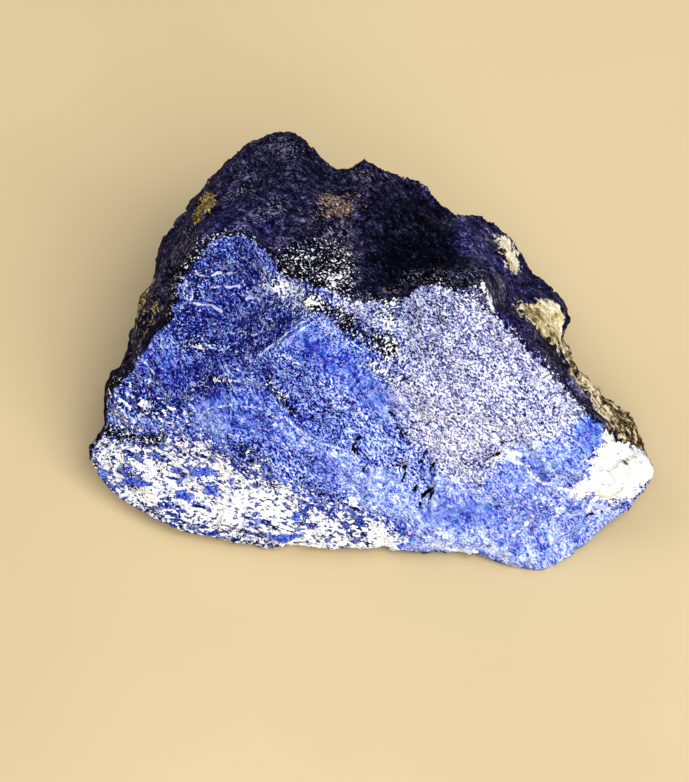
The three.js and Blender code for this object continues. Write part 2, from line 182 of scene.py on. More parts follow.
# Blue and navy grains in the calcite large enough to have their own outlines.
blueGrains = [
    [-21.4, -16.6, -19.8, -16.2, -17.6, -16.6, -16.7, -17.1, -18, -17.5, -20.4, -17.4],
    [-23.3, -16.6, -22.2, -16.3, -21.5, -16.8, -22.4, -17.3],
    [-22.9, -17.9, -21.8, -17.5, -21, -18, -22.1, -18.6],
    [-19, -19.3, -18.3, -18.5, -16.5, -19, -16.9, -19.9, -18.2, -20],
    [-22.8, -19.5, -21.5, -19.3, -19.9, -19.9, -20.4, -20.6, -22, -20.6],
    [-29.8, -17.8, -28.2, -17.5, -26.6, -17.9, -25.2, -18.8, -27.5, -18.8, -29, -18.7],
    [-33.2, -16.4, -31.6, -16.6, -30.7, -17.2, -31.8, -17.7, -33, -17.4],
    [-30, -16.1, -28.4, -16.1, -28, -16.7, -29.4, -16.9],
    [-25.7, -14.4, -24.6, -14.6, -24.2, -15.2, -25.4, -15.1],
    [-27, -9.9, -25.6, -9.6, -24.8, -10.6, -25.6, -11.3, -26.8, -10.9],
    [-15.5, -17.8, -14.7, -17.8, -14.6, -18.5, -15.4, -18.4],
    [-12.6, -22.9, -11.4, -22.9, -10.3, -23.8, -11.6, -23.7],
    [-10.6, -25.2, -8.4, -24.9, -6, -24.8, -5.4, -25.4, -7.6, -26, -9.8, -26],
    [-6.9, -21.8, -6, -22.2, -6.2, -23.4, -7, -23],
]
leftRim = [-31.4, -4.4, -32.1, -6, -32.2, -10.5, -33, -12.2]  # near black, with no white on it
# How the rock changes from place to place, as (strength, softness, shape). A shape is a whole place, or
# a brush stroke along a line with the softness as its half width, in mm.
rockFields = {
    # Pale lilac: on the sheen facet a painted highlight, the lamp's sheen painted in; on the belly and the
    # lower right partly painted light, partly paler frosted rock.
    "frostAndSheen": [  # pale and lilac against clear blue; on the rind, blue against grey
        (1, 1.1, "sheen"), (0.35, 0.9, "scallop"), (0.15, 1.4, "belly"), (0.2, 1.8, "lowRight"),
        (0.2, 0.8, "crest"), (0.3, 0.5, "flake"), (-0.6, 0.6, "blueCorner"), (-0.3, 1.2, "bluePatch"),
        (-0.3, 1.6, [-6, 1.5, 0, -3, 7, -9]), (-0.4, 1.1, [26.6, -28, 27, -29.6]),
        (-0.2, 1.4, [21, -16, 30, -15]), (-0.35, 1.2, [7.4, -25, 9, -26.6]),
        (0.9, 3.4, [19, 17, 22.5, 12, 25, 7, 22, 4.5]), (0.8, 2.4, [12, 21, 16, 15, 18, 10]),
        (0.5, 2, [-14, 24, -18, 16]), (0.6, 1, [22, 2, 30, -6]),
    ],
    # Tone is partly the rock's own and partly painted light and shade: painted shade in the hollow, the bowl
    # and along the step, painted light on the belly, the lower right and the hollow's right wall.
    "tone": [  # lighter above zero, darker below
        (-0.3, 1.4, "bowl"), (-0.06, 0.8, "stepShade"), (-0.08, 1, "bluePatch"), (0.12, 2, "lowRight"),
        # painted shade in the hollow behind the sheen facet's top edge
        (-0.36, 2.2, "hollow"), (0.08, 0.3, "flake"), (0.05, 1, "slab"), (0.02, 0.6, "leftBand"),
        (0.2, 1.2, "belly"), (0.04, 0.8, "crest"), (-0.02, 1, "sheen"), (-0.2, 1.4, "grains"),
        (-0.05, 1, "scallop"), (-0.03, 1.7, [-5, 1.5, 0, -2.6, 7, -9]),
        (-0.06, 1.6, [-19, -0.8, -13, -0.8]), (-0.12, 1.3, [-20, -3, -18, -5]),
        (-0.24, 1.1, [-21, -6.8, -17, -5.8]), (-0.1, 1.4, [-15, -3.4, -11, -4.4]),
        (-0.14, 1.4, [-9.4, -3.6, -7, -6.6]), (-0.12, 1.2, [-4.6, -1.8, -0.6, -2.6]),
        (-0.18, 0.9, [-13.8, -13.6, -11.2, -15.2]), (-0.15, 0.9, [-3, -20, 1.6, -21.8]),
        (-0.12, 1, [8.8, 6.6, 14, 5.4]), (-0.24, 2.6, [-29, -5, -24, -7.4]),
        (-0.16, 1.6, [-25, -1.6, -19, -4.4]), (-0.16, 1.2, [-24.6, -8, -21, -10.2]),
        # painted light on the hollow's right wall
        (0.24, 1.6, [15, 16.4, 16, 13]), (0.1, 1.2, [19, 16, 18.5, 12, 21, 8, 26, 2]),
        (-0.16, 2.4, [8.4, 19.6, 5, 17]), (-0.22, 0.9, [-22.4, 9.2, -18, 9.4]),
        (0.18, 0.5, [-11, -1.2, -8, 0.2, -4.4, 2.6]), (-0.16, 0.6, [-9.4, 2.4, -6.8, 4]),
        (-0.12, 0.6, [-8, -8.2, -5.6, -10, -3.4, -12]), (-0.14, 1.4, [-10.4, -8, -8.8, -13]),
        (0.16, 0.6, [-8.9, -10.4, -6.8, -12.2, -4.5, -13.7]), (-0.24, 1.4, [-4.4, -15.2, -2.6, -15.8]),
        (-0.1, 0.8, [6, -8, 9, -13, 11.5, -16]), (0.12, 0.9, [-2.4, -5.2, 2, -7, 6.4, -9.4]),
        (0.14, 1.2, [-3.8, -11.2, -2.4, -12]), (0.14, 1.2, [1.8, -11.6, 4, -12.2]),
        (-0.1, 0.7, [-10.4, -3.4, -8, -7.4]), (-0.1, 0.7, [-4.6, 5.6, -1.6, 4.2, 0.4, 3]),
        (-0.15, 1, [0.2, 2.6, 2.6, 1.2, 5.2, -0.2]), (0.14, 1.4, [5, 2.4, 7.8, 1.4, 8, -1.4]),
        (0.1, 1.2, [9.2, -3.4, 10, -6.4]), (0.16, 1.6, [12.6, -10.4, 14, -12]),
        (0.1, 1.4, [10.4, -14, 12.4, -14.8]), (0.08, 1.4, [16.6, -1, 19, -1.6]),
        (0.1, 1.4, [21.4, -4, 21, -8, 20.6, -12]), (0.1, 1.2, [26, -6, 29.6, -10.8]),
        (-0.12, 2, [17.8, -17, 24, -18]), (0.12, 1.2, [10.6, -20.4, 14.6, -20]),
        (0.1, 1.6, [11, -25, 15.4, -26.6]), (0.1, 1.2, [32, -26.4, 35, -24.6]),
        (0.1, 1.2, [-8, -16.8, -5.6, -17.2]), (0.14, 1, [-19, -9.4, -17, -11, -16.8, -13]),
        (-0.14, 1, [-14, -9.4, -13.2, -11]), (-0.12, 1, [-12.8, -13.4, -10.8, -14.2]),
        (-0.1, 1.2, [-5, -20, -3, -18.2, 0.4, -18.4, 2.4, -16.6]), (-0.1, 1, [7.8, -14.4, 10.4, -16.6]),
        (-0.08, 1.2, [13.6, -19.8, 16.6, -19.8]), (0.2, 1, [0.8, 3.8, 2.8, 5.4]),
        (-0.14, 0.9, [5.6, 3.6, 6.4, 6.2]), (-0.1, 2.2, [12, 4, 13.6, 0.6, 10.6, -1]),
        (0.08, 1.6, [24.4, -2.4, 28, -6]), (0.1, 1.2, [25.4, -13.4, 21, -14.4]),
        (0.08, 1.4, [17, -12, 15.8, -15.6]), (-0.12, 1.2, [28.4, -8.6, 31.6, -8.4]),
        (-0.2, 1, [36.8, -8.4, 38, -13]), (-0.1, 1, [27.6, -22.2, 30.4, -22.4]),
        (0.24, 0.8, [30.4, -4.6, 32.8, -7.2, 34.3, -9.8]), (-0.14, 1.2, [-20.4, 0, -16.6, -0.4]),
        (-0.14, 1, [-14, 6.6, -12.4, 7]), (-0.12, 1.2, [-19.6, 8, -20.8, 6.2, -23, 2.6]),
        (-0.14, 1, [-6.4, 3.2, -5, 3.2]), (-0.12, 1.2, [4.4, -2, 7.2, -4.8]),
        (-0.1, 1.4, [-5.4, -4.2, -2.6, -6.8]), (-0.16, 1, [8, -25.2, 9.6, -24.8]),
        (0.14, 0.9, [4.4, -6.6, 6.8, -9.4]), (0.08, 1.2, [-4, 0.6, 2.6, -1.2]),
        (-0.12, 1.2, [-30.6, -8, -26, -8]), (-0.05, 6, [-24, 0, -10, -3]), (0.03, 8, [8, -14, 26, -12]),
        (0.05, 2.6, [2, -26, 28, -28]), (0.1, 1.2, [21.4, 14, 22.8, 11]),
        (-0.35, 0.9, [24.6, 4.6, 26.4, 1.8, 27.6, 0.4]), (-0.2, 0.9, [-13.2, -15, -12, -13.4]),
        (-0.12, 0.9, [5.6, 5, 6.6, 4]), (0.14, 1.3, [-9.8, 8.2, -6, 6.4]),
        (0.12, 0.9, [24.4, -12, 24.8, -13.4]), (0.12, 0.8, [29.4, -11, 29.4, -12.6]),
        (0.12, 0.9, [20.4, -14.6, 21.4, -18]), (0.1, 1, [11, -19, 11.4, -20.6]),
    ],
    "calm": [  # where the rock is smooth and even
        (0.7, 1.2, "belly"), (0.5, 1.2, "bluePatch"), (0.5, 1.2, "slab"), (0.7, 2, "lowRight"),
        (0.9, 0.8, "blueCorner"), (0.85, 2, [-6.4, 1, 0, -3, 6.4, -8.4]),
        (0.3, 1.2, [-19, -9.4, -12, -10.4]), (0.3, 1.6, [-14, 2, -9, 5]), (0.3, 1.4, [-21, -12, -15, -13]),
        (0.6, 2, [-26, -1.8, -21, -4.4, -17.6, -6.4]),
    ],
    # White grains, partly painted glints where grains catch the light along the crest and in the speckled
    # zone above it.
    "snowAndGlints": [  # share of white grains
        (0.14, 1.6, "grains"), (0.12, 0.5, "sheen"), (0.22, 0.8, "scallop"), (0.18, 0.8, "crest"),
        (0.04, 1.4, "leftWhite"), (0.04, 1.6, "lowRight"), (0.05, 1.2, "belly"), (0.07, 1.2, "bowl"),
        (0.2, 1.2, [-1.2, 12.2, 0.2, 10, -1.4, 7.6]), (0.05, 1.6, [-9.4, 11.6, -6, 10.4]),
        (-0.1, 1, [-11.4, 13, -9.6, 12.6]), (0.12, 1, [-4.4, 8.8, -3, 8.6]),
        (0.16, 1.1, [-7.4, 9, -2.6, 8.2]), (0.24, 1, [-12.4, 6.6, -9, 6.8, -6.6, 6.4]),
        (0.16, 1, [-10.4, 8.6, -7, 7, -4, 5.8]), (0.16, 0.9, [0.4, 4.4, 1.8, 4]),
        (0.2, 1.1, [3.4, 2.4, 7.6, 1.8, 7.8, -1.6]), (0.12, 1, [9, -3, 9.6, -6]),
        (0.25, 0.7, [3.4, -14.4, 7.8, -14.8]), (0.45, 0.8, [26.6, -20, 29.4, -19.6]),
        (0.25, 0.8, [9.8, -26.4, 14, -27, 18, -28]), (0.35, 0.6, [20, -30.4, 25, -31, 30, -28.6]),
        (0.15, 1.2, [10.5, -24.6, 18, -25.4]), (0.5, 0.7, [32.6, -21.8, 34.6, -21.9]),
        (0.32, 0.5, [-17, -4.6, -12, -5]), (0.4, 0.5, [-21.4, -0.2, -19.4, -0.4]),
        (0.25, 0.5, [-19.4, -0.4, -15.5, -0.5, -12, -2.4]), (0.3, 0.5, [-10, -5.2, -7.6, -7.2]),
        (0.08, 1, [-17, -11.4, -13.4, -13.6]), (0.12, 1.6, [1, -3, 7, -4.6]), (0.08, 1.3, [-2, -8, 4, -13]),
        (-1, 0.4, leftRim), (0.16, 1.4, [11, -10, 15, -13]),
        (0.1, 1.1, [-4.4, 5.2, 0.2, 2.8, 5.4, -0.4]), (0.1, 1, [-18.4, 13.2, -15.6, 14.4, -12.6, 14]),
    ],
    "layers": [  # share of white streaks along the layers
        (0.16, 1.2, "leftWhite"), (-1, 0.4, leftRim),
        (0.16, 0.7, [-31, -6.4, -29, -7.2]), (0.4, 0.8, [-30.4, -10, -28.2, -10.2]),
        (0.25, 0.6, [-28, -7, -26, -8]), (0.2, 0.8, [-27, -4.6, -24.6, -5.2]),
        (0.15, 1.2, [-13, -15, -9, -17]), (0.2, 0.8, [-5, -20.8, 0, -22.2]),
        (0.4, 0.7, [0.8, -20.8, 2.6, -23.2]), (0.25, 1, [9, -25.6, 17, -27]),
        (0.14, 1, [24, -20, 28, -21.4]),
    ],
    "seam": [  # more or fewer blue grains in the calcite
        (0.3, 0.9, [-28.8, -14.8, -27, -15]), (0.2, 0.9, [-24.4, -21.4, -22.4, -21.6]),
        (0.12, 1, [-13.8, -22.4, -11.8, -23]), (0.35, 0.9, [-5.6, -22.6, -4.4, -23.6]),
        (0.35, 0.8, [-20.2, -13.8, -18.8, -14.6]), (0.3, 0.8, [1, -25.4, 3, -25.8]),
        (0.1, 1.2, [-18.4, -18, -14, -18.8]), (-0.1, 1, [-25, -13.6, -20.6, -12.8]),
        (-0.25, 1.3, [-11.4, -18.6, -8, -21.8]), (-0.3, 0.9, [-8.4, -19, -6.6, -19.2]),
        (-0.3, 0.9, [-20.2, -22.6, -16.6, -23.6]), (-0.3, 0.9, [-14, -25, -12.6, -25]),
        (-0.3, 0.8, [-4, -21.6, -3.4, -24.6]), (-0.6, 1.5, [4.6, -24.8, 6.2, -26]),
        (-0.3, 1, [-30, -11, -27.6, -12.8]), (-0.16, 0.9, [-21, -13, -17.4, -16.2, -12.8, -17.4]),
        (-0.35, 0.8, [-13.6, -20, -15.8, -21.2, -16, -24.6]), (0.2, 0.8, [-29.6, -17.2, -27, -17.8]),
        (-0.3, 1, [-31.6, -12.8, -31.2, -16]), (0.2, 0.7, [-18.6, -21, -17.6, -23.4]),
        (0.2, 0.7, [-15, -24.2, -10.4, -24.8]), (0.2, 0.7, [-7, -20.2, -5, -20.2]),
        (0.25, 0.8, [-31.6, -18.6, -30, -19.4]), (-0.3, 0.8, [-28, -20, -26, -20.2]),
        (-0.3, 0.7, [-25.6, -16, -25.2, -17.2]),
    ],
    # Near black: dark grains, and painted shade in the long hollow below the crest and along the crest where
    # the face turns into the top.
    "nightAndShade": [  # share of near black grains
        (0.14, 1, "sheen"), (0.18, 1.4, "bowl"), (0.14, 0.9, "stepShade"), (0.36, 0.8, "scallop"),
        (0.34, 1, "crest"), (0.22, 0.9, "lowFringe"), (0.03, 1.5, "belly"), (0.12, 2, "leftWhite"),
        # painted shade in the long hollow below the crest
        (1, 0.9, [-4.6, 5.9, -1.6, 4.2, 0.4, 3]), (0.9, 1.2, [0.2, 2.6, 2.6, 1.2, 5.8, -0.2]),
        (1.1, 0.8, [-31.4, -11.4, -28.4, -12.3, -26, -12.7, -24.4, -12.2]),
        (0.3, 1, [-14, -13.8, -11, -15.4]), (0.2, 0.8, [-3, -20, 3, -23.8]),
        (0.4, 0.5, [9.6, 7.9, 13, 8.2, 17, 7.9]), (0.35, 0.5, [6, -9, 7.6, -12]),
        (0.5, 0.45, [-10.4, -4.8, -9.4, -6.6, -8.2, -7.6, -6.4, -9]), (0.5, 0.35, [3.8, -15.6, 7.8, -16.3]),
        (0.24, 1, [-10.4, 8.6, -7, 7, -4, 5.8]), (0.55, 0.6, [-17.6, -4.4, -15, -5.1]),
        (0.45, 0.6, [-21.6, -0.1, -19.4, -0.3]), (0.3, 0.6, [-10.2, -3.6, -8, -7]),
        (0.2, 1.4, [-16, -13.4, -9.5, -18.4]), (0.22, 0.6, [-32, -13, -31, -16]),
        (1.3, 0.36, leftRim),
        (1.2, 0.4, [-33.2, -12.2, -34.2, -14.4, -34.4, -15.4]),
    ],
    "glint": [  # pale flecks on the dark rind
        (0.06, 1.4, "grains"), (0.16, 1.2, [-9, 26.6, -7, 26]), (0.22, 0.7, [-15.6, 20, -12.6, 20.8]),
        (0.18, 0.8, [-14, 23, -12.8, 22.6]), (0.24, 1.2, [-12, 17, -9, 18.2]), (0.16, 1, [1.6, 23, 3, 22]),
        (0.16, 1.1, [-2.4, 14.4, -0.4, 15]), (0.1, 2, [-20, 13, -24, 6]),
        (0.2, 0.9, [8, 8.6, 15, 8.8, 18, 9]),
    ],
    "gold": [  # warm glitter
        (0.4, 1.3, [-2.6, 18.6, -0.6, 18]), (0.24, 1.7, [-2.4, 18, 0.8, 18.6]),
        (0.3, 0.5, [-1.6, 14.7, -0.6, 14.5]), (0.4, 0.4, [5.4, 7.3, 6.9, 7.4]),
        (0.12, 1.2, [-1, 12.4, 0.6, 10.6]), (0.3, 0.5, [37, -15.3, 38.2, -14.9]),
        (0.25, 0.6, [3.4, -15, 7.8, -15.6]),
    ],
    "rust": [  # olive and brown staining
        (1, 0.7, "oliveStain"), (0.42, 0.7, "leftBand"), (0.6, 0.3, "cornerSpot"),
    ],
}
# Cracks, pits and scarps: depth, half width, how far a dark colour spreads as painted shade in the recess,
# line, all in mm.
carvedLines = [
    (0.7, 0.35, 0.22, [2, -12.1, 1.4, -12.9, 1.2, -13.8, 1.8, -14.6]),
    (0.4, 0.25, 0.08, [3.1, -15.6, 2.5, -16.3, 2.3, -16.9]),
    (0.4, 0.25, 0.08, [-2.3, -13.7, -3.4, -14.6, -4.2, -15.4, -4.5, -16.4]),
    (0.6, 0.3, 0.16, [8, -16.2, 8.1, -17.2, 7.7, -18.3]),
    (0.6, 0.3, 0.18, [10.7, -14.3, 10.4, -15, 10.1, -15.6]),
    (0.8, 0.3, 0.16, [12.1, -15.3, 11.6, -16, 11.2, -16.7]), (0.6, 0.3, 0.16, [9.7, -18.4, 9.1, -19.3]),
    (1, 0.35, 0.2, [11.6, -18.5, 10.9, -19.4, 10.2, -20, 9.7, -21.3]),
    (0.7, 0.3, 0.12, [11.9, -19.1, 11.3, -19.9, 10.9, -21]), (0.4, 0.25, 0.07, [13.1, -15.3, 13.4, -16.4]),
    (0.5, 0.3, 0.1, [22, -12.7, 21, -12.9, 20.4, -13.2, 20.4, -14.4, 19.6, -15, 18.3, -15.7]),
    (0.4, 0.3, 0.08, [4.7, -4.9, 5.7, -5.2, 7.3, -4.8, 8.7, -4, 8.4, -3.6]),
    (0.4, 0.4, 0.08, [5.5, -8.7, 6.3, -9.7, 7.3, -11.6, 7.9, -12.9]),
    (0.4, 0.3, 0.1, [-6.3, -17.7, -4.5, -17.4]), (0.4, 0.3, 0.1, [-5, -19.3, -3.2, -20, -2.4, -19.8]),
    (0.6, 0.4, 0.14, [32.3, -23.1, 33, -22.7]), (0.6, 0.4, 0.1, [33.2, -22.2, 33.9, -22, 34.3, -22.3]),
    (0.4, 0.5, 0, [-30.4, -11.8, -28.4, -12.5, -26, -12.9, -24.6, -12.4]),
    (0.35, 0.4, 0, [-22.4, 9.4, -20.6, 8.4, -19.8, 7.2, -20.3, 5.6]),
    (0.25, 0.35, 0, [-19.2, 8.8, -18, 8.5, -16.6, 9, -15, 8.9]),
    (0.25, 0.35, 0, [-20.3, 5.1, -18.6, 4.9, -16.9, 4.5, -15.8, 3.9]),
    (0.25, 0.35, 0, [-14, 2.4, -12.5, 1.8, -11.5, 2, -11.2, 3]),
    (0.6, 0.6, 0, [7.5, 14.6, 11, 13.8, 13.6, 13.4]), (0.6, 0.6, 0, [6.5, 11.6, 10.5, 11.4, 13.6, 10.8]),
]
# Edges of flakes with a painted highlight where they catch the light, then pale veins: half width, line.
raisedLips = [
    (0.05, [-22.4, 9, -21.3, 8.8, -20.2, 7.6, -20.1, 6.2, -20.6, 5.5]),
    (0.07, [-19.8, 9.9, -19.3, 9.2, -18.1, 8.9, -16.8, 9.4, -15.6, 9.3, -14.4, 9.6]),
    (0.05, [-17.5, 7.6, -16.3, 7.65, -14.4, 7.6, -13.3, 7.9]),
    (0.08, [-20.5, 5.5, -19.5, 5.3, -18.1, 5.3, -17.1, 4.9, -16.4, 4.4]),
    (0.05, [-14, 2, -13.3, 1.6, -12, 1.2, -11.2, 1.7, -10.8, 2.8, -10.9, 3.6]),
    (0.02, [-11.2, 11.1, -10.5, 10, -10.1, 9.2]), (0.05, [-4.7, 3.3, -6.8, 1.9, -9.2, 0.2, -12, -2.3]),
    (0.02, [-3.6, 3.2, -5.2, 2.2, -8.2, 0]), (0.03, [-10.1, -3.3, -9.7, -4.5, -8.7, -6.3]),
    (0.06, [-8.7, -9.2, -6.5, -10.9, -3.7, -12.8, -0.4, -13.8]),
    (0.08, [-27.3, -1.6, -26.2, -2.6, -25.2, -3.9]),
    (0.02, [-19.4, -9.8, -17.8, -8.4, -14.6, -7.9, -10.8, -8.5, -8.9, -9.6]),
    (0.03, [18, 8, 19.2, 6, 19.3, 4.5]),
]
paleVeins = [
    (0.07, [20.6, -13.6, 22, -15.2, 23.6, -16.2, 25.6, -18, 28.4, -19, 31, -19.4]),
    (0.2, [21, -13.9, 22, -14.5, 23, -14.7]), (0.1, [21.4, -14.6, 23, -15.8, 24.2, -16]),
    (0.07, [21, -14.2, 19.6, -15.2, 18.4, -15.9]), (0.09, [22.3, -25.3, 23.5, -24.2, 24.7, -23.1]),
    (0.04, [17, -8, 18.6, -10.4, 20, -12.4]), (0.1, [32.2, -22.4, 33, -20.6, 34.2, -19]),
    (0.16, [17.8, 8.2, 18.6, 6.6, 19.2, 4.6]), (0.05, [13.4, -27, 15.2, -27.4, 17.4, -27.6]),
]
reach = 6.0  # mm past which a distance is no longer kept
# How deep each of these places reaches, in mm behind its own front, and what is lost for each mm beyond.
placeDepths = {"calciteCorner": 9.0, "lobeCalcite": 7.0, "topCalcite": 7.0, "matrix": 11.0}
depthSlope = 0.3
strokeFade = (0.45, 1.55)  # shares of a stroke's half width where it starts to fade and where it is gone


def placeDistance(flat, name):
    return np.clip(insideBy(flat, rockPlaces[name]), -reach, reach)


def withDepth(face, name):
    # a place's distance, falling off where the rock lies deep behind the place's front
    inside = placeDistance(face[:, :2], name)
    front = face[inside > 0.3, 2].max()  # clear of the place's edge
    return inside - depthSlope * np.maximum(front - face[:, 2] - placeDepths[name], 0)


def fieldOver(flat, name):
    value = np.zeros(len(flat))
    for strength, soft, shape in rockFields[name]:
        if isinstance(shape, str):
            share = smoothStep(placeDistance(flat, shape), -soft, soft)
        else:
            gap = distanceToLine(flat, shape)
            share = 1 - smoothStep(gap, strokeFade[0] * soft, strokeFade[1] * soft)
        value += strength * share
    return value


def nearestLine(flat, lines):
    # mm from the edge of whichever line is nearest
    best = np.full(len(flat), reach)
    for half, line in lines:
        best = np.minimum(best, distanceToLine(flat, line) - half)
    return best


def carvedDepth(flat):
    # mm cut away, deepest along the middle of a line
    depth = np.zeros(len(flat))
    for deep, half, _, line in carvedLines:
        depth = np.maximum(depth, deep * np.exp(-((distanceToLine(flat, line) / half) ** 2)))
    return depth


# The stone's own mesh

stoneSurface = {
    "voxel": 0.00037,  # metres; sets how fine the mesh is
    "weld": 1e-6,  # metres within which the CAD solid's triangles are joined
    "ridge": (0.05, 0.2),  # bulge, in voxels, where a ridge starts to be worn and where it is fully worn
    "wornRings": 3,  # how many points wide the worn strip is
    "wornShare": 0.75,
    "rest": (0.0001, 0.0008),  # metres over which the relief grows, above the flat that it rests on
    "front": (-0.12, 0.1),  # how far a point turns to the viewer where the face's rock begins and is whole
    "stained": (-0.12, 0.4),  # the same for stains, which would smear on the sides
    "back": (0.0, 0.3),  # how far it turns away for patches on the sides
    "backDepth": (4, 8),  # and how many mm it lies behind the face
    "bandLoss": 3.5,  # mm that the band draws in on the sides
    "cornerLoss": 1.6,
    "relief": {  # heights in metres, tilts as slopes, scales in cells a metre, the lip's width in mm
        "Chip Scale": 170.0, "Chip Tilt": 0.18,
        "Flake Scale": 560.0, "Flake Tilt": 0.20,
        "Break Scale": 95.0, "Break Tilt": 0.16,
        "Lump Scale": 260.0, "Lump Height": 0.0004,
        "Tooth Scale": 900.0, "Tooth Height": 0.00017,
        "Grain Scale": 2000.0, "Grain Height": 0.00011,
        "Lip Width": 0.4, "Lip Height": 0.00012, "Seed": 4.0,
    },
}


def linkObject(name, data):
    thing = bpy.data.objects.new(name, data)
    bpy.context.scene.collection.objects.link(thing)
    return thing


def bakeModifiers(piece):
    # turns what the modifiers give into a plain mesh
    bpy.context.view_layer.update()
    graph = bpy.context.evaluated_depsgraph_get()
    baked = bpy.data.meshes.new_from_object(piece.evaluated_get(graph), depsgraph=graph)
    old = piece.data
    piece.modifiers.clear()
    piece.data = baked
    baked.name = piece.name
    bpy.data.meshes.remove(old)
    return piece


def makeStoneMesh():
    # the CAD solid's loose triangles joined, then evenly remeshed so that fine relief can stand on it
    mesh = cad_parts["lapis_stone"].data.copy()
    mesh.name = "stone_surface"
    work = bmesh.new()
    work.from_mesh(mesh)
    bmesh.ops.remove_doubles(work, verts=work.verts, dist=stoneSurface["weld"])
    work.to_mesh(mesh)
    work.free()
    mesh.materials.clear()
    stone = linkObject("stone_surface", mesh)
    remesh = stone.modifiers.new("even", "REMESH")
    remesh.mode = "VOXEL"
    remesh.voxel_size = stoneSurface["voxel"]
    return bakeModifiers(stone)


def readVectors(source, key):
    values = np.zeros(len(source) * 3)
    source.foreach_get(key, values)
    return values.reshape(-1, 3)


def neighbourMean(mesh, values):
    # each point's value averaged over the points joined to it
    ends = np.zeros(len(mesh.edges) * 2, np.int32)
    mesh.edges.foreach_get("vertices", ends)
    one, other = ends[0::2], ends[1::2]
    size = len(values)
    total = np.bincount(one, values[other], size) + np.bincount(other, values[one], size)
    return total / np.maximum(np.bincount(one, minlength=size) + np.bincount(other, minlength=size), 1)


def openGround(mesh, points, normals):
    # 1 on open ground, less on a sharp ridge, where relief would stand up as spikes
    around = np.stack([neighbourMean(mesh, points[:, axis]) for axis in range(3)], axis=1)
    bulge = ((points - around) * normals).sum(axis=1) / stoneSurface["voxel"]
    for _ in range(stoneSurface["wornRings"]):
        bulge = np.maximum(bulge, neighbourMean(mesh, bulge))
    return 1 - stoneSurface["wornShare"] * smoothStep(bulge, *stoneSurface["ridge"])


def paintPlaces(stone):
    # each point gets its distance in mm into every kind of rock, and the value of every field
    mesh = stone.data
    points = readVectors(mesh.vertices, "co")
    normals = readVectors(mesh.vertex_normals, "vector")
    face = toFace(points)
    flat = face[:, :2]
    facing = normals[:, 2] * sinLean - normals[:, 1] * cosLean  # 1 where a point looks straight out
    front = smoothStep(facing, *stoneSurface["front"])
    stained = smoothStep(facing, *stoneSurface["stained"])
    behind = smoothStep(-face[:, 2], *stoneSurface["backDepth"])
    hidden = 1 - front
    away = reach * hidden
    grains = [np.clip(insideBy(flat, outline), -reach, reach) for outline in blueGrains]
    # cracks and pits whose recess is darkened with painted shade
    dark = [(spread, line) for _, _, spread, line in carvedLines if spread > 0]
    painted = {
        "hidden": hidden,
        "back": smoothStep(-facing, *stoneSurface["back"]) * behind,
        "broken": placeDistance(flat, "brokenFace") * front - away,
        "calcite": placeDistance(flat, "calcite") - stoneSurface["bandLoss"] * hidden,
        "corner": withDepth(face, "calciteCorner") - stoneSurface["cornerLoss"] * hidden,
        "cream": np.maximum(withDepth(face, "lobeCalcite"), withDepth(face, "topCalcite")),
        "matrix": withDepth(face, "matrix"),
        "blueGrain": np.maximum.reduce(grains) * front - away,
        "crack": nearestLine(flat, dark) + away,
        "lip": nearestLine(flat, raisedLips) * front + away,
        "vein": nearestLine(flat, paleVeins) * front + away,
        "carve": carvedDepth(flat) * front * mm,
        "free": smoothStep(points[:, 2], *stoneSurface["rest"]) * openGround(mesh, points, normals),
    }
    for name in rockFields:
        painted[name] = fieldOver(flat, name) * (stained if name == "rust" else front)
    for name, values in painted.items():
        attribute = mesh.attributes.new(name, "FLOAT", "POINT")
        attribute.data.foreach_set("value", values.astype(np.float32))


# Node helpers


def join(tree, socket, value):
    # a socket takes a link or a plain value
    if isinstance(value, bpy.types.NodeSocket):
        tree.links.new(value, socket)
    else:
        socket.default_value = value


def addNode(tree, kind, settings=None, **inputs):
    # in the names of inputs, an underscore stands for a space
    node = tree.nodes.new(kind)
    for name, value in (settings or {}).items():
        setattr(node, name, value)
    for name, value in inputs.items():
        join(tree, node.inputs[name.replace("_", " ")], value)
    return node


def maths(tree, operation, *values, clamp=False):
    node = addNode(tree, "ShaderNodeMath", {"operation": operation, "use_clamp": clamp})
    for socket, value in zip(node.inputs, values):
        join(tree, socket, value)
    return node.outputs[0]


def vectorMaths(tree, operation, first, second):
    node = addNode(tree, "ShaderNodeVectorMath", {"operation": operation})
    join(tree, node.inputs[0], first)
    join(tree, node.inputs[1], second)
    return node.outputs


def noiseAt(tree, place, seed, scale, detail, rough):
    node = addNode(tree, "ShaderNodeTexNoise", {"noise_dimensions": "4D"}, Vector=place, W=seed)
    for name, value in (("Scale", scale), ("Detail", detail), ("Roughness", rough)):
        join(tree, node.inputs[name], value)
    return node.outputs[0]


def between(tree, value, low, high, ends=(0.0, 1.0), kind="SMOOTHSTEP"):
    # goes from the first end at low to the second at high
    return addNode(tree, "ShaderNodeMapRange", {"interpolation_type": kind}, Value=value, From_Min=low,
                   From_Max=high, To_Min=ends[0], To_Max=ends[1]).outputs[0]


def cut(tree, value, level, soft):
    # 0 below a level, 1 above it
    return between(tree, value, maths(tree, "SUBTRACT", level, soft), maths(tree, "ADD", level, soft))


# Relief, by geometry nodes


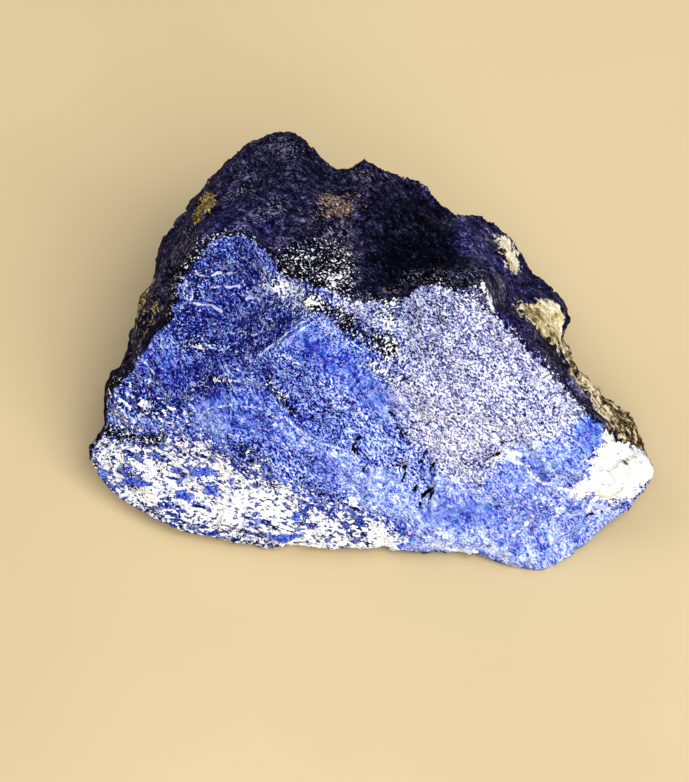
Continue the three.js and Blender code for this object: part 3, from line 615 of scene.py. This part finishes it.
def makeReliefTree():
    tree = bpy.data.node_groups.new("stone relief", "GeometryNodeTree")
    sockets = [("Geometry", "INPUT", "Geometry"), ("Material", "INPUT", "Material"),
               ("Geometry", "OUTPUT", "Geometry")]
    sockets += [(name, "INPUT", "Float") for name in stoneSurface["relief"]]
    for name, way, kind in sockets:
        tree.interface.new_socket(name, in_out=way, socket_type=f"NodeSocket{kind}")
    given = tree.nodes.new("NodeGroupInput").outputs
    place = tree.nodes.new("GeometryNodeInputPosition").outputs[0]
    normal = tree.nodes.new("GeometryNodeInputNormal").outputs[0]

    def attribute(name):
        node = addNode(tree, "GeometryNodeInputNamedAttribute", {"data_type": "FLOAT"}, Name=name)
        return node.outputs["Attribute"]

    height = 0.0
    for name in ("Chip", "Flake", "Break"):  # each cell is a plane with its own slant
        cells = addNode(tree, "ShaderNodeTexVoronoi", {"voronoi_dimensions": "3D"}, Vector=place,
                        Scale=given[f"{name} Scale"]).outputs
        offset = vectorMaths(tree, "SUBTRACT", place, cells["Position"])["Vector"]
        slant = vectorMaths(tree, "SUBTRACT", cells["Color"], (0.5, 0.5, 0.5))["Vector"]
        rise = vectorMaths(tree, "DOT_PRODUCT", offset, slant)["Value"]
        rise = maths(tree, "MULTIPLY", rise, given[f"{name} Tilt"])
        if name == "Break":  # only on the sides away from the broken face
            rise = maths(tree, "MULTIPLY", rise, attribute("hidden"))
        height = maths(tree, "ADD", height, rise)
    for name, detail, rough in (("Lump", 2.0, 0.5), ("Tooth", 3.0, 0.6), ("Grain", 1.0, 0.5)):
        noise = noiseAt(tree, place, given["Seed"], given[f"{name} Scale"], detail, rough)
        size = maths(tree, "MULTIPLY", given[f"{name} Height"], 2.0)
        height = maths(tree, "MULTIPLY_ADD", maths(tree, "SUBTRACT", noise, 0.5), size, height)
    fromLip = maths(tree, "DIVIDE", attribute("lip"), given["Lip Width"])
    lipShare = maths(tree, "SUBTRACT", 1.0, fromLip, clamp=True)
    height = maths(tree, "MULTIPLY_ADD", lipShare, given["Lip Height"], height)
    height = maths(tree, "SUBTRACT", height, attribute("carve"))
    height = maths(tree, "MULTIPLY", height, attribute("free"))
    move = addNode(tree, "ShaderNodeVectorMath", {"operation": "SCALE"}, Vector=normal, Scale=height)
    moved = addNode(tree, "GeometryNodeSetPosition", Geometry=given["Geometry"], Offset=move.outputs[0])
    real = addNode(tree, "GeometryNodeRealizeInstances", Geometry=moved.outputs[0])
    dressed = addNode(tree, "GeometryNodeSetMaterial", Geometry=real.outputs[0], Material=given["Material"])
    smooth = addNode(tree, "GeometryNodeSetShadeSmooth", Geometry=dressed.outputs[0])
    addNode(tree, "NodeGroupOutput", Geometry=smooth.outputs[0])
    return tree


def roughenStone(stone, material):
    modifier = stone.modifiers.new("relief", "NODES")
    modifier.node_group = makeReliefTree()
    values = {**stoneSurface["relief"], "Material": material}
    for item in modifier.node_group.interface.items_tree:
        if item.name in values:
            modifier[item.identifier] = values[item.name]
    bakeModifiers(stone)


# Shader groups, which give masks and values


def newGroup(name, inputs, outputs):
    # an input without a value is a vector
    group = bpy.data.node_groups.new(name, "ShaderNodeTree")
    for socketName, value in inputs.items():
        kind = "NodeSocketVector" if value is None else "NodeSocketFloat"
        socket = group.interface.new_socket(socketName, in_out="INPUT", socket_type=kind)
        if value is not None:
            socket.default_value = value
    for socketName in outputs:
        group.interface.new_socket(socketName, in_out="OUTPUT", socket_type="NodeSocketFloat")
    return group, group.nodes.new("NodeGroupInput").outputs, group.nodes.new("NodeGroupOutput").inputs


def makeSpeckleGroup():
    # noise cut at a level: grains, flecks and blotches
    values = {"Scale": 1000.0, "Detail": 3.0, "Rough": 0.6, "Level": 0.5, "Soft": 0.04, "Seed": 0.0}
    group, given, result = newGroup("speckle", {"Vector": None, **values}, ["Mask", "Value"])
    noise = noiseAt(group, given["Vector"], given["Seed"], given["Scale"], given["Detail"], given["Rough"])
    join(group, result["Mask"], cut(group, noise, given["Level"], given["Soft"]))
    join(group, result["Value"], noise)
    return group


def makeEdgeGroup():
    # a place's distance in mm, broken up by a noise, made a mask
    values = {"Distance": 0.0, "Noise": 0.5, "Ragged": 1.0, "Soft": 0.5, "Shift": 0.0}
    group, given, result = newGroup("ragged place", values, ["Mask"])
    torn = maths(group, "MULTIPLY", maths(group, "SUBTRACT", given["Noise"], 0.5), given["Ragged"])
    moved = maths(group, "ADD", maths(group, "ADD", given["Distance"], torn), given["Shift"])
    join(group, result["Mask"], cut(group, moved, 0.0, given["Soft"]))
    return group


def makeGrainGroup():
    # irregular grains: noise cut at the level that lets about the given share through
    values = {"Scale": 2800.0, "Detail": 2.0, "Share": 0.1, "Soft": 0.014, "Seed": 0.0}
    group, given, result = newGroup("scattered grains", {"Vector": None, **values}, ["Mask"])
    noise = noiseAt(group, given["Vector"], given["Seed"], given["Scale"], given["Detail"], 0.6)
    level = maths(group, "SUBTRACT", 0.65, maths(group, "MULTIPLY", given["Share"], 0.3))
    grains = cut(group, noise, level, given["Soft"])
    some = between(group, given["Share"], 0.0, 0.04, kind="LINEAR")  # none at all where the share is nil
    join(group, result["Mask"], maths(group, "MULTIPLY", grains, some))
    return group


speckleGroup = makeSpeckleGroup()
edgeGroup = makeEdgeGroup()
grainGroup = makeGrainGroup()


def useGroup(tree, group, **values):
    return addNode(tree, "ShaderNodeGroup", {"node_tree": group}, **values).outputs


def alongFace(tree, vector, angle, stretch):
    # coordinates turned to a direction on the face and drawn out along it
    tilt = Matrix.Rotation(math.pi / 2 - layout["lean"], 3, "X")
    turn = tilt @ Matrix.Rotation(math.radians(angle), 3, "Z")
    return addNode(tree, "ShaderNodeMapping", {"vector_type": "TEXTURE"}, Vector=vector,
                   Rotation=turn.to_euler("XYZ"), Scale=(stretch, 1.0, 1.0)).outputs[0]


def blendColours(tree, share, first, second):
    node = addNode(tree, "ShaderNodeMix", {"data_type": "RGBA"})  # its sockets for colours are 6, 7 and 2
    for index, value in ((0, share), (6, first), (7, second)):
        join(tree, node.inputs[index], value)
    return node.outputs[2]


def tone(red, green, blue):
    # a colour given from 0 to 255, as the linear values that a shader takes
    def linear(value):
        share = value / 255
        return share / 12.92 if share <= 0.04045 else ((share + 0.055) / 1.055) ** 2.4
    return (linear(red), linear(green), linear(blue), 1.0)


def ramp(tree, value, stops):
    node = tree.nodes.new("ShaderNodeValToRGB")
    elements = node.color_ramp.elements
    while len(elements) < len(stops):
        elements.new(0.5)
    for element, (position, *colour) in zip(elements, stops):
        element.position = position
        element.color = tone(*colour)
    join(tree, node.inputs[0], value)
    return node.outputs[0]


# The rock's material

# Ramps of tones: position, then red, green and blue from 0 to 255.
lapisTones = {
    "lapis": [(0, 0, 4, 70), (0.18, 6, 16, 118), (0.34, 30, 52, 170), (0.5, 84, 108, 212),
              (0.64, 124, 150, 230), (0.8, 178, 199, 246), (0.97, 236, 245, 254)],
    # pale lilac, on the sheen facet a painted highlight
    "frostAndSheen": [(0, 20, 20, 66), (0.22, 84, 86, 148), (0.46, 146, 150, 206), (0.64, 198, 201, 236),
              (0.86, 248, 249, 254)],
    # dark rind, and on the top partly painted shade
    "rindAndShade": [(0, 0, 0, 6), (0.2, 6, 5, 26), (0.42, 25, 23, 48), (0.58, 46, 43, 72), (0.76, 86, 82, 112),
             (0.98, 150, 144, 168)],
    "dusk": [(0, 0, 0, 10), (0.2, 6, 5, 38), (0.42, 24, 22, 66), (0.58, 46, 44, 100),
             (0.76, 84, 82, 142), (0.98, 150, 148, 196)],
    "matrix": [(0.1, 10, 8, 4), (0.36, 72, 58, 34), (0.56, 140, 120, 84), (0.85, 240, 224, 188)],
    "cream": [(0.05, 110, 92, 54), (0.34, 196, 176, 128), (0.56, 232, 218, 178), (0.85, 255, 252, 238)],
    "calcite": [(0.05, 206, 200, 190), (0.4, 246, 245, 240), (0.7, 255, 255, 255)],
    "bandGrain": [(0.2, 10, 12, 40), (0.42, 16, 22, 88), (0.56, 42, 64, 172), (0.72, 112, 118, 140)],
    "rust": [(0.1, 24, 18, 8), (0.4, 86, 68, 28), (0.62, 140, 116, 56), (0.9, 196, 184, 140)],
    "gold": [(0.1, 56, 42, 34), (0.5, 122, 98, 78), (0.9, 206, 184, 160)],
    "white": (250, 250, 252),
    # near black, for dark grains and for painted shade in cracks and hollows
    "nightAndShade": (3, 3, 16),
    # deep blue, for dark grains and for the painted shade beside hair-thin flake edges
    "deep": (0, 6, 74),
    # pale blue for painted highlights on flake edges
    "lip": (222, 230, 255),
    # pale blue for pale grains, partly painted glints, and for painted highlights on hair-thin flake edges
    "haze": (184, 200, 255),
    "glint": (150, 146, 164),
}
# Directions on the face in degrees, and how far the noise is drawn out along them.
grainWays = {"downSlope": (-56, 4.0), "dashes": (-48, 1.8), "alongBand": (-17, 1.9)}
# Each noise: way, scale in cells a metre, detail, roughness, seed.
rockNoises = {
    "fine": ("dashes", 4200.0, 1.0, 0.5, 1.0),
    "middle": ("place", 1150.0, 3.0, 0.65, 2.0),
    "streak": ("downSlope", 900.0, 3.0, 0.6, 3.0),
    "broad": ("place", 240.0, 3.0, 0.6, 4.0),
    "tint": ("place", 2100.0, 2.0, 0.6, 12.0),
    "drawn": ("downSlope", 2600.0, 2.0, 0.6, 13.0),
    "scarp": ("place", 330.0, 3.0, 0.55, 14.0),
    "cloud": ("place", 75.0, 3.0, 0.5, 16.0),
    "matrixPatch": ("place", 66.0, 3.0, 0.6, 17.0),
    "lapisPatch": ("place", 66.0, 3.0, 0.6, 18.0),
    "hair": ("place", 720.0, 2.0, 0.5, 21.0),
}
# How far each noise moves a tone or an edge.
noiseShares = {
    "frostAndSheen": {"fine": 1.2, "middle": 1.0},
    "tint": {"tint": 0.18},
    "rindAndShade": {"crisp": 0.32, "drawn": 0.8, "middle": 1.3, "streak": 1.3, "broad": 0.6},
    "sidePatch": {"crisp": 0.4, "drawn": 0.9, "middle": 1.4, "streak": 1.2},
    "calcite": {"fine": 1.0, "middle": 1.2},
    "bandGrain": {"streak": 1.2, "middle": 1.2, "fine": 0.8},
    "blueGrain": {"fine": 0.9, "middle": 0.9, "drawn": 0.5},
    "bandEdge": {"fine": 0.7, "middle": 1.0, "streak": 0.6},
    "clusters": {"broad": 5.0, "middle": 3.0},
    "gold": {"fine": 2.4},
    "matrix": {"streak": 1.6, "middle": 2.5, "fine": 1.1},
    "cream": {"middle": 2.2, "broad": 1.0, "fine": 0.8},
    "cornerEdge": {"fine": 0.6, "middle": 1.0},
    "stain": {"middle": 1.4, "broad": 1.4, "fine": 0.5},
    "rust": {"fine": 2.0, "drawn": 1.2, "middle": 1.4},
    "bump": {"fine": 0.5, "middle": 1.0},
}
# Loose grains: way, scale, detail, softness, seed.
grainKinds = {
    "glint": ("downSlope", 3600.0, 2.0, 0.014, 5.0),
    "nightAndShade": ("place", 2700.0, 2.0, 0.014, 6.0),
    "snowAndGlints": ("place", 2700.0, 2.0, 0.014, 7.0),
    "gold": ("downSlope", 3400.0, 2.0, 0.014, 8.0),
    "large": ("alongBand", 1000.0, 3.0, 0.02, 9.0),
    "small": ("alongBand", 2400.0, 2.0, 0.014, 10.0),
    "layers": ("alongBand", 2000.0, 2.0, 0.014, 11.0),
}
# How far in mm a noise tears the edge of a place, and how soft the edge is.
placeEdges = {
    "broken": (2.6, 0.2), "patch": (5.0, 0.3), "calcite": (10.0, 0.25), "blueGrain": (1.4, 0.08),
    "matrix": (4.0, 0.2), "cream": (3.4, 0.2), "corner": (3.4, 0.15), "rust": (1.2, 0.12),
}
# Thin edges of flakes along a level of a noise, painted as a highlight with painted shade on one side:
# noise, level, half width of the line and of its core, share, tone.
flakeEdges = [
    ("scarp", 0.5, 0.007, 0.002, 0.6, "lip"),
    ("hair", 0.525, 0.017, 0.005, 0.6, "deep"),
    ("hair", 0.5, 0.017, 0.005, 0.7, "haze"),
]
# What breaks those edges off: scale, level, softness, seed.
edgeBreaks = {"scarp": (520.0, 0.53, 0.04, 15.0), "hair": (560.0, 0.53, 0.03, 22.0)}
# Drawn lines: softness and raggedness in mm, share, tone.
drawnLines = {
    "lip": (0.11, 0.7, 0.9, "lip"),
    "vein": (0.14, 1.7, 1.0, "white"),
    # cracks and pits darkened with painted shade
    "crack": (0.06, 0.9, 1.0, "nightAndShade"),
}


def makeLapisMaterial():
    material = bpy.data.materials.new("lapis_rock")
    material.use_nodes = True
    tree = material.node_tree
    tree.nodes.clear()
    place = tree.nodes.new("ShaderNodeTexCoord").outputs["Object"]
    plus, less, times, timesPlus = (partial(maths, tree, operation)
                                    for operation in ("ADD", "SUBTRACT", "MULTIPLY", "MULTIPLY_ADD"))
    blend = partial(blendColours, tree)
    ways = {name: alongFace(tree, place, angle, stretch) for name, (angle, stretch) in grainWays.items()}
    ways["place"] = place
    noises = {}
    for name, (way, scale, detail, rough, seed) in rockNoises.items():
        found = useGroup(tree, speckleGroup, Vector=ways[way], Scale=scale, Detail=detail, Rough=rough,
                         Soft=0.06, Seed=seed)
        noises[name] = found["Value"]
        if name == "fine":
            noises["crisp"] = found["Mask"]  # the same grains with hard edges

    def attribute(name):
        return addNode(tree, "ShaderNodeAttribute", {"attribute_name": name}).outputs["Fac"]

    def weighted(shares):
        # 0.5 plus each noise's departure from 0.5 times its weight
        total = 0.5
        for name, weight in shares.items():
            total = timesPlus(less(noises[name], 0.5), weight, total)
        return total

    def mixOf(name):
        return weighted(noiseShares[name])

    def ofTones(name, value):
        return ramp(tree, value, lapisTones[name])

    def flat(name):
        return tone(*lapisTones[name])

    def grains(name, share):
        way, scale, detail, soft, seed = grainKinds[name]
        return useGroup(tree, grainGroup, Vector=ways[way], Scale=scale, Detail=detail, Share=share,
                        Soft=soft, Seed=seed)["Mask"]

    middle = noises["middle"]

    def ragged(name, distance=None, noise=middle, shift=0.0):
        torn, soft = placeEdges[name]
        if distance is None:
            distance = attribute(name)
        return useGroup(tree, edgeGroup, Distance=distance, Noise=noise, Ragged=torn, Soft=soft,
                        Shift=shift)["Mask"]

    # the blue rock, clear or frosted, and pale lilac where the sheen facet's highlight is painted in
    calm = attribute("calm")
    grainy = {"crisp": timesPlus(calm, -0.42, 0.52), "drawn": timesPlus(calm, -0.55, 1.15)}
    tones = weighted({**grainy, "middle": 0.7, "streak": 1.1, "broad": 0.4})
    # tone carries painted light and shade as well as the rock's own tone
    tones = plus(tones, less(attribute("tone"), 0.04))
    frostAndSheen = plus(attribute("frostAndSheen"), less(mixOf("frostAndSheen"), 0.5), clamp=True)
    colour = blend(frostAndSheen, ofTones("lapis", tones), ofTones("frostAndSheen", tones))
    colour = addNode(tree, "ShaderNodeHueSaturation", Color=colour, Hue=mixOf("tint")).outputs[0]

    # the dark rind outside the broken face, with pale flecks; on the top, which faces away from the lamp,
    # the darkness is partly painted shade
    breaks = addNode(tree, "ShaderNodeTexVoronoi", {"voronoi_dimensions": "3D"}, Vector=place,
                     Scale=stoneSurface["relief"]["Break Scale"])
    breakTone = addNode(tree, "ShaderNodeSeparateColor", Color=breaks.outputs["Color"]).outputs[0]
    breakTone = times(less(breakTone, 0.5), attribute("hidden"))
    rindAndShadeTones = timesPlus(breakTone, 0.24, plus(mixOf("rindAndShade"), less(attribute("tone"), 0.1)))
    rindMask = ragged("broken")
    flecks = grains("glint", plus(attribute("glint"), 0.008))
    duskShare = timesPlus(less(noises["cloud"], 0.56), 5.0, attribute("frostAndSheen"), clamp=True)
    rindAndShade = blend(duskShare, ofTones("rindAndShade", rindAndShadeTones), ofTones("dusk", rindAndShadeTones))
    rindAndShade = blend(times(flecks, 0.8), rindAndShade, flat("glint"))
    colour = blend(rindMask, rindAndShade, colour)

    # patches of brown matrix and of clear blue on the sides
    for name, level, shade in (("matrix", 0.62, -0.05), ("lapis", 0.61, -0.16)):
        patch = ragged("patch", times(less(noises[f"{name}Patch"], level), 26.0))
        patch = times(patch, attribute("back"))
        colour = blend(patch, colour, ofTones(name, plus(mixOf("sidePatch"), shade)))

    # 1 on clear blue, where loose grains are blue too; 0 where they are white and near black
    notBlack = between(tree, attribute("nightAndShade"), 0.45, 0.2, kind="LINEAR")
    blueShare = times(times(rindMask, less(1.0, frostAndSheen)), notBlack)

    # the calcite band with its blue and navy grains drawn out along the layers
    calcite = ofTones("calcite", mixOf("calcite"))
    inBand = attribute("calcite")
    nearEdge = between(tree, inBand, 4.5, 0.0, kind="LINEAR")
    seam = attribute("seam")
    largeShare = timesPlus(nearEdge, 0.16, plus(seam, 0.26))
    smallShare = timesPlus(nearEdge, 0.14, timesPlus(seam, 0.6, plus(attribute("nightAndShade"), 0.32)))
    grainTones = ofTones("bandGrain", mixOf("bandGrain"))
    band = blend(grains("large", largeShare), calcite, grainTones)
    band = blend(grains("small", smallShare), band, grainTones)
    band = blend(ragged("blueGrain"), band, ofTones("lapis", plus(mixOf("blueGrain"), -0.09)))
    colour = blend(ragged("calcite", inBand, mixOf("bandEdge")), colour, band)

    # loose grains over blue and rind alike, in clusters; the white ones partly painted glints, the near
    # black ones partly painted shade along the crest
    clusters = maths(tree, "MAXIMUM", plus(mixOf("clusters"), 0.4), 0.5)
    darkGrains = grains("nightAndShade", timesPlus(attribute("nightAndShade"), clusters, 0.03))
    colour = blend(darkGrains, colour, blend(blueShare, flat("nightAndShade"), flat("deep")))
    paleShare = timesPlus(rindMask, 0.035, times(attribute("snowAndGlints"), clusters))
    paleTone = blend(blueShare, flat("white"), flat("haze"))
    colour = blend(grains("snowAndGlints", paleShare), colour, paleTone)
    colour = blend(grains("layers", times(attribute("layers"), clusters)), colour, flat("white"))
    glitter = grains("gold", times(attribute("gold"), clusters))
    goldTones = ofTones("gold", mixOf("gold"))
    colour = blend(glitter, colour, goldTones)

    # brown matrix on the right edge, cream patches on the lobe, white calcite at the corner, olive stains
    matrixTones = plus(mixOf("matrix"), plus(attribute("tone"), 0.03))
    colour = blend(ragged("matrix"), colour, ofTones("matrix", matrixTones))
    creamTones = plus(mixOf("cream"), attribute("tone"))
    colour = blend(ragged("cream"), colour, ofTones("cream", creamTones))
    corner = blend(glitter, calcite, goldTones)
    colour = blend(ragged("corner", noise=mixOf("cornerEdge")), colour, corner)
    stained = ragged("rust", noise=mixOf("stain"), shift=-0.5)
    stained = times(stained, timesPlus(attribute("rust"), 8.0, attribute("back"), clamp=True))
    colour = blend(stained, colour, ofTones("rust", mixOf("rust")))

    # small curved scarps left by flakes, and hair-thin flake edges, a painted highlight with painted shade
    # on the dark side
    whole = {}
    for name, (scale, level, soft, seed) in edgeBreaks.items():
        kept = useGroup(tree, speckleGroup, Vector=place, Scale=scale, Detail=2.0, Level=level, Soft=soft,
                        Seed=seed)["Mask"]
        whole[name] = times(kept, rindMask)
    for name, level, wide, thin, strength, shade in flakeEdges:
        away = maths(tree, "ABSOLUTE", less(noises[name], level))
        line = times(between(tree, away, wide, thin), whole[name])
        colour = blend(times(line, strength), colour, flat(shade))

    # painted highlights on the edges of flakes, pale veins, and painted shade in cracks and pits
    for name, (soft, torn, strength, shade) in drawnLines.items():
        moved = timesPlus(less(middle, 0.5), torn, attribute(name))
        colour = blend(times(between(tree, moved, soft, 0.0), strength), colour, flat(shade))

    step = between(tree, noises["scarp"], 0.485, 0.515)
    bump = addNode(tree, "ShaderNodeBump", Strength=0.8, Distance=0.00025,
                   Height=timesPlus(step, 0.35, mixOf("bump")))
    gloss = between(tree, noises["fine"], 0.0, 1.0, (0.8, 0.5), kind="LINEAR")
    surface = addNode(tree, "ShaderNodeBsdfPrincipled", Base_Color=colour, Roughness=gloss,
                      Normal=bump.outputs[0], Specular_IOR_Level=timesPlus(rindMask, 0.03, 0.03))
    addNode(tree, "ShaderNodeOutputMaterial", Surface=surface.outputs[0])
    return material


# Floor, light and camera

studio = {
    "floorSize": 3.0,
    "floorTone": (216, 193, 148),
    "floorChange": (-8, 8),  # how far its tone strays
    "floorCloud": 9.0,  # cells a metre
    "floorRough": 0.8,
    "worldTone": (200, 205, 215),
    "worldStrength": 0.42,
    "aim": (0, 0, 0.012),
}
lamps = {
    "key": {"place": (0.44, -0.70, 0.86), "size": 1.3, "power": 20.6},
    "fill": {"place": (-0.55, 0.25, 0.55), "size": 0.6, "power": 2.0},
}
view = {
    "distance": 0.8,
    "pixelsPerMm": 7.6,
    "imageHeight": 782,
    "centreAcross": -0.07,  # mm on the face, at the middle of the view
    "centreUp": -6.13,
    "sensor": 24,
}


def makeFloor():
    mesh = bpy.data.meshes.new("floor")
    half = studio["floorSize"] / 2
    corners = [(-half, -half, 0), (half, -half, 0), (half, half, 0), (-half, half, 0)]
    mesh.from_pydata(corners, [], [(0, 1, 2, 3)])
    material = bpy.data.materials.new("pale_sheet")
    material.use_nodes = True
    tree = material.node_tree
    surface = tree.nodes["Principled BSDF"]
    place = tree.nodes.new("ShaderNodeTexCoord").outputs["Object"]
    cloud = useGroup(tree, speckleGroup, Vector=place, Scale=studio["floorCloud"], Detail=3.0, Rough=0.5,
                     Seed=21.0)["Value"]
    darker, lighter = ([value + change for value in studio["floorTone"]] for change in studio["floorChange"])
    join(tree, surface.inputs["Base Color"], ramp(tree, cloud, [(0.3, *darker), (0.7, *lighter)]))
    surface.inputs["Roughness"].default_value = studio["floorRough"]
    mesh.materials.append(material)
    floor = linkObject("floor", mesh)


def lightStudio():
    for name, lamp in lamps.items():
        light = bpy.data.lights.new(name, "AREA")
        light.size = lamp["size"]
        light.energy = lamp["power"]
        holder = linkObject(name, light)
        holder.location = lamp["place"]
        aim = Vector(studio["aim"]) - holder.location
        holder.rotation_euler = aim.to_track_quat("-Z", "Y").to_euler()
    world = bpy.data.worlds.new("studio")
    world.use_nodes = True
    background = world.node_tree.nodes["Background"]
    background.inputs["Color"].default_value = tone(*studio["worldTone"])
    background.inputs["Strength"].default_value = studio["worldStrength"]
    bpy.context.scene.world = world
    bpy.context.scene.view_settings.view_transform = "Standard"


def placeCamera():
    camera = bpy.data.cameras.new("camera")
    holder = linkObject("camera", camera)
    direction = Vector((0, -cosLean, sinLean))
    holder.location = fromFace(view["centreAcross"], view["centreUp"], 0) + direction * view["distance"]
    holder.rotation_euler = (-direction).to_track_quat("-Z", "Y").to_euler()
    camera.sensor_fit = "VERTICAL"
    camera.sensor_height = view["sensor"]
    viewHeight = view["imageHeight"] / view["pixelsPerMm"] * mm
    camera.lens = camera.sensor_height * view["distance"] / viewHeight
    camera.clip_start = 0.01
    bpy.context.scene.camera = holder


placeCamera()
print("stage: camera")
stone = makeStoneMesh()
print("stage: stone mesh", len(stone.data.polygons), "faces")
paintPlaces(stone)
print("stage: places")
lapisRock = makeLapisMaterial()
roughenStone(stone, lapisRock)
print("stage: relief")
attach(stone, "root")
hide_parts("lapis_stone")
makeFloor()
lightStudio()
print("stage: studio")
